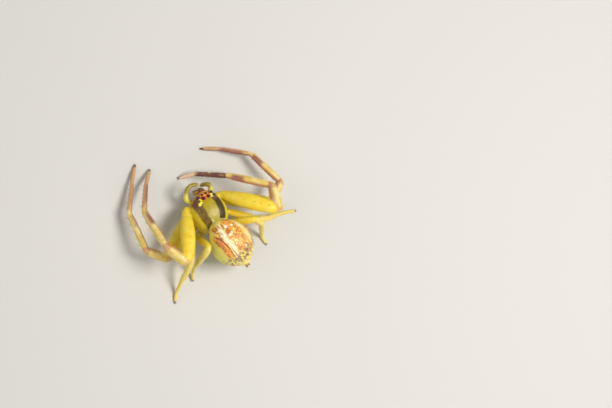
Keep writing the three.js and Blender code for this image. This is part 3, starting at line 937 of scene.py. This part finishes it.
def hook(name, root, tip, arch, thick):
    """A tapering hook from root to tip that bulges by arch."""
    route = smooth_route([root, root.lerp(tip, 0.55) + arch, tip], 3)
    whole = length_of(route)
    marks = [whole * share for share in HOOK_SHARES]
    return bend_along(straight_tube(name, marks, [thick * taper for taper in HOOK_TAPER], 8), route)


hooks = []
for (pair, side), joints in LEGS.items():
    ahead = (joints[-1] - joints[-2]).normalized()
    level = Vector((ahead.x, ahead.y, 0)).normalized()
    sideways = UPRIGHT.cross(level)
    for apart in (1, -1):
        root = joints[-1] - ahead * CLAW_INSET + sideways * apart * CLAW_APART + UPRIGHT * CLAW_LIFT
        tip = root + level * CLAW_LENGTH + sideways * apart * CLAW_APART
        tip.z = CLAW_TIP
        hooks.append(hook(f"claw_{pair}_{side}_{apart}", root, tip, CLAW_ARCH, CLAW_THICK))
for side in SIDES:
    root, tip = (place(forward, side * left, up) for forward, left, up in (FANG_ROOT, FANG_TIP))
    hooks.append(hook(f"fang_{side}", root, tip, FANG_ARCH, FANG_THICK))
claws = joined(hooks, "claws_and_fangs")
bpy.ops.object.shade_smooth()
claws.data.materials.append(horn_material)
finish_piece(claws)
print("claws and fangs", len(hooks))

# %% [markdown]
# ## Down and bristles
# Short pale hairs lie along the legs and back, and dark spines stand under the tibiae and metatarsi of the
# hunting legs, where they hold the prey. One hair is modelled once as a thin, three-sided, tapering blade
# and copied to each root. Its UV is one small patch at the place of its root on an unwrap of the skin.

# %% Unwrap the skin for the roots
only(skin)
edit_all()
bpy.ops.uv.smart_project(angle_limit=math.radians(66), island_margin=0.002)
end_edit()
mesh = skin.data
mesh.uv_layers[0].name = "SkinUnwrap"
mesh.calc_loop_triangles()
triangles = numbers_of(mesh.loop_triangles, "vertices", 3, np.int64)
corners = numbers_of(mesh.loop_triangles, "loops", 3, np.int64)
corner_uv = numbers_of(mesh.uv_layers[0].data, "uv", 2)
skin_points = numbers_of(mesh.vertices, "co", 3)
normals = numbers_of(mesh.vertices, "normal", 3)
edges = skin_points[triangles]
areas = np.linalg.norm(np.cross(edges[:, 1] - edges[:, 0], edges[:, 2] - edges[:, 0]), axis=1) / 2
print("skin area in mm2", round(float(areas.sum()), 1))

# %% One hair
HAIR_STEPS = ((0.4, 0.8), (0.35, 0.6), (0.25, 0.12))


def hair_shape():
    """A unit hair on +Z: three sides, two joints and a point, drawn out from a small circle."""
    bpy.ops.object.select_all(action="DESELECT")
    bpy.ops.mesh.primitive_circle_add(vertices=3, radius=1.0, fill_type="NGON")
    hair = bpy.context.object
    edit_all()
    for rise, grow in HAIR_STEPS:
        bpy.ops.mesh.extrude_region_move(TRANSFORM_OT_translate={"value": (0, 0, rise)})
        centre = (0, 0, max(vertex.co.z for vertex in hair.data.vertices) + rise)
        bpy.ops.transform.resize(value=(grow, grow, 1), center_override=centre)
    turn_outwards()
    bpy.ops.mesh.quads_convert_to_tris()
    end_edit()
    faces = np.array([list(polygon.vertices) for polygon in hair.data.polygons])
    shape = numbers_of(hair.data.vertices, "co", 3)
    bpy.data.objects.remove(hair)
    return shape, faces


HAIR_POINTS, HAIR_FACES = hair_shape()
print("a hair has", len(HAIR_FACES), "faces")

# %% Copies of the hair at many roots
HAIR_CURL, ROOT_DEPTH = 0.25, 0.02
UV_PATCH = np.array([[0, 0], [0.0024, 0], [0.0012, 0.0024]])


def rooted(chosen, draw):
    """Random places on the chosen triangles, each with its outward normal and its place on the unwrap."""
    weights = draw.dirichlet((1, 1, 1), len(chosen))
    roots = np.einsum("nk,nkd->nd", weights, skin_points[triangles[chosen]])
    outs = np.einsum("nk,nkd->nd", weights, normals[triangles[chosen]])
    outs /= np.linalg.norm(outs, axis=1)[:, None]
    return {"root": roots, "out": outs, "uv": corner_uv[corners[chosen]].mean(axis=1)}


def hair_points(hairs, width):
    """Every point of every hair. A hair leans over by its lean, from 0 upright to 1 flat, and curls."""
    lean, length = hairs["lean"][:, None], hairs["length"][:, None, None]
    along = hairs["out"] * (1 - lean) + hairs["lie"] * lean
    along /= np.linalg.norm(along, axis=1)[:, None]
    side = np.cross(along, hairs["out"] + 1e-3)
    side /= np.linalg.norm(side, axis=1)[:, None]
    flat = np.cross(along, side)
    x, y, z = (HAIR_POINTS[None, :, k, None] for k in range(3))
    blade = (x * side[:, None] + y * flat[:, None]) * width + z * along[:, None] * length
    curl = z**2 * (hairs["lie"] * HAIR_CURL)[:, None] * length
    return (hairs["root"] - hairs["out"] * ROOT_DEPTH)[:, None] + blade + curl


def grow_hairs(name, hairs, width, material):
    """One piece of all these hairs, each with its root's places and its patch of the unwrap."""
    count, each = len(hairs["root"]), len(HAIR_POINTS)
    faces = (HAIR_FACES[None] + np.arange(count)[:, None, None] * each).reshape(-1, 3)
    hair_mesh = bpy.data.meshes.new(name)
    hair_mesh.from_pydata(hair_points(hairs, width).reshape(-1, 3).tolist(), [], faces.tolist())
    uv = np.repeat(hairs["uv"], len(HAIR_FACES), axis=0)[:, None] + UV_PATCH[None]
    hair_mesh.uv_layers.new(name="OFBake").data.foreach_set("uv", uv.reshape(-1).astype(np.float32))
    write_places(hair_mesh, {key: np.repeat(hairs[key], each, axis=0) for key in PLACES})
    hair_mesh.materials.append(material)
    piece = bpy.data.objects.new(name, hair_mesh)
    bpy.context.collection.objects.link(piece)
    finish_piece(piece)
    print(name, "hairs", count, "triangles", len(faces))


# %% Down
DOWN_COUNT = 15000
DOWN_WIDTH = 0.0065
SOLE_BARE = 0.15
down_material, shader = new_material("down", {"Roughness": 0.5})
here = Here(down_material.node_tree)
(here.grain * 0.3).dye(markings(here), colour(250, 240, 190)).feed(shader, "Base Color")
draw = np.random.default_rng(11)
middles = skin_points[triangles].mean(axis=1)
face_places = locate(middles)
density = np.where(face_places["pair"] > 0, 1.0, 0.45)
density = np.where(face_places["belly"][:, 0] > -0.9, 0.75, density)
density *= np.where(face_places["spot"][:, 2] < SOLE_BARE, 0.2, 1.0)
chance = areas * density
chosen = draw.choice(len(triangles), DOWN_COUNT, p=chance / chance.sum())
down = {**{key: value[chosen] for key, value in face_places.items()}, **rooted(chosen, draw)}
down["length"] = np.where(down["pair"] > 0, 0.15, 0.13) * draw.uniform(0.6, 1.25, DOWN_COUNT)
down["length"] *= np.where(down["station"] > 4.5, 0.7, 1.0) * np.where(down["pair"] == PALP_PAIR, 0.8, 1.0)
down["lie"] = down["lie"] + draw.normal(0, 0.18, (DOWN_COUNT, 3))
down["lean"] = draw.uniform(0.5, 0.75, DOWN_COUNT)
on_left = down["root"][:, 0] >= MIDDLE.x
for name, half in (("down_left", on_left), ("down_right", ~on_left)):
    grow_hairs(name, {key: value[half] for key, value in down.items()}, DOWN_WIDTH, down_material)

# %% [markdown]
# ## Where the bristles stand
# Two rows of spines stand under a hunting leg's tibia and metatarsus, four short ones on the crest of its
# thigh, and twelve on the carapace. Each takes root in the triangle of skin that is nearest to its place.

# %% Bristles
BRISTLE_ROWS = ((3, 5), (4, 6))
CREST_SHARES = (0.35, 0.5, 0.62, 0.76)
BACK_PLACES = ((0.75, 0.25), (0.35, 0.42), (1.35, 0.15), (1.3, 0.45), (0.0, 0.3), (-0.4, 0.35))
BACK_HEIGHT = 2.5
BRISTLE_WIDTH = 0.016
bristle_material, shader = new_material("bristle", {"Roughness": 0.35})
mottled(bristle_material, shader, 8000.0, colour(86, 54, 36), colour(58, 34, 26))


def leg_bristles(pair, side):
    """Places, lengths and leans of one leg's bristles."""
    joints, rows = LEGS[pair, side], []
    for segment, steps in BRISTLE_ROWS:
        a, b = joints[segment:segment + 2]
        inward = UPRIGHT.cross((b - a).normalized()) * side
        for step in range(steps):
            for lean_in in (1, -0.6):
                share = (step + 0.7 + 0.15 * lean_in) / (steps + 0.6)
                radius = leg_radius(pair, segment + min(share, 0.95))
                off = (inward * lean_in * 0.75 - UPRIGHT * 0.75).normalized() * radius
                rows.append((a.lerp(b, share) + off, draw.uniform(0.26, 0.38), 0.45))
    for share in CREST_SHARES:
        rise = leg_radius(pair, 1 + share) * FEMUR_THICKNESS
        rows.append((femur_point(pair, side, share) + UPRIGHT * rise, 0.24, 0.5))
    return rows


rows = [row for pair, side in LEGS if pair <= 2 for row in leg_bristles(pair, side)]
for forward, left in BACK_PLACES:
    rows += [(place(forward, side * left, BACK_HEIGHT), 0.28, 0.35) for side in SIDES]
chosen = np.array([int(np.argmin(((middles - np.array(at)) ** 2).sum(axis=1))) for at, _, _ in rows])
bristles = {**{key: value[chosen] for key, value in face_places.items()}, **rooted(chosen, draw)}
bristles["length"] = np.array([length for _, length, _ in rows])
bristles["lean"] = np.array([lean for _, _, lean in rows])
grow_hairs("bristles", bristles, BRISTLE_WIDTH, bristle_material)

# %% Hand over the skin
FLESH = [node for node in frame["nodes"] if not node.startswith(("eye_", "chelicera_"))]
finish_piece(skin, FLESH)
print("skin stands for", len(FLESH), "nodes")

# %% [markdown]
# ## Floor, light and camera
# A pale floor and large, soft lights close to the small animal. The camera looks down steeply from the
# front left with a long lens, turned so that the animal lies in the picture as in the photograph.

# %% Floor and lights
FLOOR_SIZE = 0.6
FLOOR_GREY = colour(212, 210, 205)
WARM, NEUTRAL, COOL = (1.0, 0.97, 0.92), (1, 1, 1), (0.95, 0.97, 1.0)
WORLD_LIGHT = 0.3
bpy.ops.object.select_all(action="DESELECT")
bpy.ops.mesh.primitive_plane_add(size=FLOOR_SIZE, location=(0, 0, 0))
floor = bpy.context.object
floor.name = "floor"
floor_material, _ = new_material("pale_floor", {"Base Color": FLOOR_GREY, "Roughness": 0.8})
floor.data.materials.append(floor_material)


def soft_light(name, at, size, watts, tint):
    """A square light, its place and size in mm, that faces the animal."""
    bpy.ops.object.light_add(type="AREA", location=Vector(at) * MM)
    lamp = bpy.context.object
    lamp.name = name
    lamp.data.size = size * MM
    lamp.data.energy = watts
    lamp.data.color = tint
    lamp.rotation_mode = "QUATERNION"
    lamp.rotation_quaternion = (-Vector(at)).to_track_quat("-Z", "Y")


soft_light("key_light", (-50, 20, 120), 60, 0.145, WARM)
soft_light("fill_light", (110, -60, 80), 110, 0.05, NEUTRAL)
soft_light("rim_light", (10, 120, 60), 80, 0.026, COOL)
world = bpy.data.worlds.new("studio")
world.use_nodes = True
world.node_tree.nodes["Background"].inputs["Color"].default_value = (*COOL, 1)
world.node_tree.nodes["Background"].inputs["Strength"].default_value = WORLD_LIGHT
bpy.context.scene.world = world
bpy.context.scene.view_settings.view_transform = "Standard"
print("floor, three lights and a pale world")

# %% Camera
PIXELS_PER_MM = 13.5
LENS, SENSOR = 150.0, 36.0
PICTURE = (612, 408)
TO_CAMERA, PICTURE_RIGHT = (0.1199, 0.3995, 0.9089), (-0.3875, -0.8240, 0.4133)
KNOWN_PLACE, KNOWN_PIXEL = (1.15, 0, 2.3), (207.25, 199.5)


def direction(forward, left, up):
    return Vector((left, -forward, up)).normalized()


to_camera, right = direction(*TO_CAMERA), direction(*PICTURE_RIGHT)
upward = to_camera.cross(right)
target = place(*KNOWN_PLACE) + right * ((PICTURE[0] / 2 - KNOWN_PIXEL[0]) / PIXELS_PER_MM)
target -= upward * ((PICTURE[1] / 2 - KNOWN_PIXEL[1]) / PIXELS_PER_MM)
distance = PICTURE[0] / PIXELS_PER_MM * LENS / SENSOR
bpy.ops.object.camera_add(location=(target + to_camera * distance) * MM)
camera = bpy.context.object
camera.data.lens = LENS
camera.data.sensor_width = SENSOR
camera.data.clip_start = 0.005
camera.data.clip_end = 10.0
turn = np.array([right, upward, to_camera]).T
camera.rotation_mode = "QUATERNION"
camera.rotation_quaternion = Matrix(turn.tolist()).to_quaternion()
bpy.context.scene.camera = camera
print("camera", round(distance, 1), "mm away")
